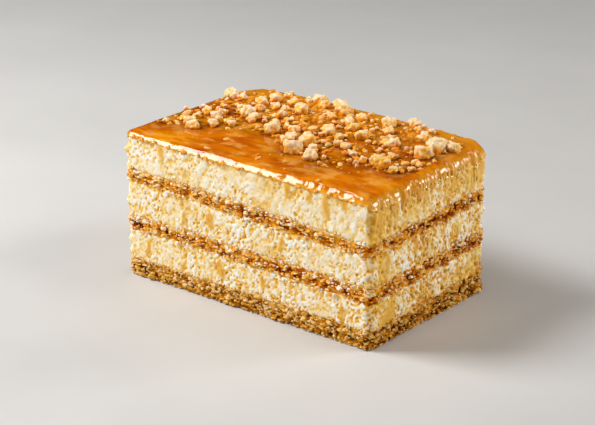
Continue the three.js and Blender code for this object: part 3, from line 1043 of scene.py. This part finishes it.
# Beads below the front rim: how far out, above the glaze's foot and from the block's ends, and the gaps
FRONT_BEADS = {"out": 0.15, "above_foot": (-0.4, 0.3), "from_left": 3.5, "from_right": 3.0,
               "gaps": (0.7, 6.0), "half_widths": (0.3, 0.8), "half_depth": 0.35,
               "tallest": 1.4, "amber": 0.8}

# Drops on the +X side: most of them are not far below the top
SIDE_DROPS = {"count": 130, "out": 0.1, "below_top": (2.5, 40.0), "half_depth": 0.24,
              "half_widths": (0.2, 0.5), "tallest": 2.6, "amber": 0.0}


def front_beads(draws):
    """Middles and half widths of a row of beads below the front rim."""
    x = FRONT_BEADS["from_left"] - HALF_LENGTH
    while x < HALF_LENGTH - FRONT_BEADS["from_right"]:
        height = glaze_foot(x, -HALF_DEPTH) + draws.uniform(*FRONT_BEADS["above_foot"])
        half_width = mix(*FRONT_BEADS["half_widths"], draws.random() ** 2)
        yield x, -HALF_DEPTH - FRONT_BEADS["out"], height, half_width, FRONT_BEADS["half_depth"]
        x += mix(*FRONT_BEADS["gaps"], draws.random() ** 3)


def side_drops(draws):
    """Middles and half widths of drops on the +X side."""
    for _ in range(SIDE_DROPS["count"]):
        y = draws.uniform(-0.5, 0.5) * (DEPTH - 2 * CORNERS["right"])
        height = HEIGHT - mix(*SIDE_DROPS["below_top"], draws.random() ** 3)
        half_width = draws.uniform(*SIDE_DROPS["half_widths"])
        yield HALF_LENGTH + SIDE_DROPS["out"], y, height, SIDE_DROPS["half_depth"], half_width


def add_beads(material):
    """Beads of syrup that cling below the front rim and to the +X side."""
    draws = np.random.default_rng(BEADS_SEED)
    front, side = list(front_beads(draws)), list(side_drops(draws))
    middles, widths = np.hsplit(np.array(front + side), [3])
    counts = (len(front), len(side))
    tallest = np.repeat((FRONT_BEADS["tallest"], SIDE_DROPS["tallest"]), counts)
    amber = np.repeat((FRONT_BEADS["amber"], SIDE_DROPS["amber"]), counts)
    halves = np.column_stack([widths, widths.max(axis=1) * draws.uniform(BEAD_SHORTEST, tallest)])
    directions, triangles = ball(BEAD_DETAIL)
    points, faces = joined(middles, halves[:, None, :] * directions, triangles)
    return add_piece("syrup_beads", material, [(points, faces, {"amber": np.repeat(amber, len(directions))})])


# Stage, in metres

BLOCK_MIDDLE = Vector((0.0, 0.0, HEIGHT / 2 * MM))
FLOOR_HALF = 2.0
FLOOR_HEIGHT = -0.2 * MM
WORLD_LIGHT = 0.015
WHITE = (1.0, 1.0, 1.0)
WARM = (1.0, 0.97, 0.92)

# Soft lights: way from the block, distance, width and height, energy and colour
LIGHTS = {
    "key": ((-0.60, -0.37, 0.72), 0.55, (0.24, 0.24), 3.4, WHITE),
    "front_fill": ((0.15, -0.93, 0.35), 0.9, (0.7, 0.5), 1.85, WARM),
    "side_light": ((0.62, 0.32, 0.72), 0.6, (0.2, 0.2), 0.8, WARM),
    "side_fill": ((0.9, -0.25, 0.35), 0.9, (0.5, 0.5), 0.4, WARM),
    "rim": ((0.63, 0.72, 0.3), 0.8, (0.24, 0.24), 2.8, WHITE),
}

# The photograph's view: degrees, metres and pixels, with the block a little off the picture's middle
VIEW = {"azimuth": 38.83, "elevation": 21.34, "distance": 0.6542}
PICTURE = {"width": 595, "focal_length": 2207.7, "moved_right": 7.85, "moved_up": 2.48}
SENSOR_WIDTH = 36.0  # in millimetres, as the lens
FARTHEST_SEEN = 20.0


def add_aimed(name, data, way, distance):
    """A light or camera that looks at the middle of the block from a direction and distance."""
    aimed = bpy.data.objects.new(name, data)
    aimed.location = BLOCK_MIDDLE + Vector(way).normalized() * distance
    aimed.rotation_euler = (BLOCK_MIDDLE - aimed.location).to_track_quat("-Z", "Y").to_euler()
    bpy.context.scene.collection.objects.link(aimed)
    return aimed


def add_light(name, way, distance, size, energy, colour):
    """A soft rectangle of light."""
    light = bpy.data.lights.new(name, "AREA")
    light.shape = "RECTANGLE"
    light.size, light.size_y = size
    light.energy = energy
    light.color = colour
    add_aimed(name, light, way, distance)


def add_camera():
    """The camera of the photograph's view."""
    camera = bpy.data.cameras.new("camera")
    camera.sensor_width = SENSOR_WIDTH
    camera.lens = PICTURE["focal_length"] / PICTURE["width"] * SENSOR_WIDTH
    camera.shift_x = -PICTURE["moved_right"] / PICTURE["width"]
    camera.shift_y = -PICTURE["moved_up"] / PICTURE["width"]
    camera.clip_end = FARTHEST_SEEN
    azimuth, elevation = math.radians(VIEW["azimuth"]), math.radians(VIEW["elevation"])
    level = math.cos(elevation)
    way = (level * math.sin(azimuth), -level * math.cos(azimuth), math.sin(elevation))
    bpy.context.scene.camera = add_aimed("camera", camera, way, VIEW["distance"])


def add_floor():
    """A large square just below the block's foot."""
    corners = [(-1, -1), (1, -1), (1, 1), (-1, 1)]
    mesh = bpy.data.meshes.new("floor")
    mesh.from_pydata([(x * FLOOR_HALF, y * FLOOR_HALF, 0.0) for x, y in corners], [], [(0, 1, 2, 3)])
    mesh.materials.append(floor_finish())
    floor = bpy.data.objects.new("floor", mesh)
    floor.location.z = FLOOR_HEIGHT
    bpy.context.scene.collection.objects.link(floor)


def add_world():
    """A faint even light from all sides."""
    world = bpy.data.worlds.new("studio")
    world.use_nodes = True
    background = world.node_tree.nodes["Background"]
    background.inputs["Color"].default_value = (WORLD_LIGHT, WORLD_LIGHT, WORLD_LIGHT, 1.0)
    bpy.context.scene.world = world


add_camera()
add_floor()
add_world()
for light_name, light_values in LIGHTS.items():
    add_light(light_name, *light_values)
bpy.context.scene.view_settings.view_transform = "Standard"


# The slice

CREAMS = {
    "cream_lower": {"foot": "base_top", "top": "lower_wafer_foot", "roughness": 1.0},
    "cream_middle": {"foot": "lower_wafer_top", "top": "upper_wafer_foot", "roughness": 1.0},
    "cream_upper": {"foot": "upper_wafer_top", "top": "glaze_foot", "roughness": 0.75},
}

# Darkest is where the dark line runs, as a share of the thickness
WAFERS = {
    "base_wafer": {"foot": "floor", "top": "base_top", "salt": 51, "darkest": 0.1, "contrast": 1.1},
    "wafer_lower": {"foot": "lower_wafer_foot", "top": "lower_wafer_top", "salt": 54, "darkest": 0.35,
                    "contrast": 1.15},
    "wafer_upper": {"foot": "upper_wafer_foot", "top": "upper_wafer_top", "salt": 57, "darkest": 0.4,
                    "contrast": 1.0},
}

cream_material = cream_finish()
for cream_name, layer in CREAMS.items():
    cream = add_cream("ice_" + cream_name, layer, cream_material)
    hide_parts(cream_name)

base_material = base_finish()
wafer_material = wafer_finish()
for wafer_name, layer in WAFERS.items():
    wafer_look = base_material if wafer_name == "base_wafer" else wafer_material
    wafer = add_wafer("crumb_" + wafer_name, layer, wafer_look)
    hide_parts(wafer_name)

nut_list = nut_places()
glaze = add_glaze(glaze_finish(), nut_list)
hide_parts("glaze")
nuts = add_nuts(nut_finish(), nut_list)
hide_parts("glaze")
beads = add_beads(syrup_finish())
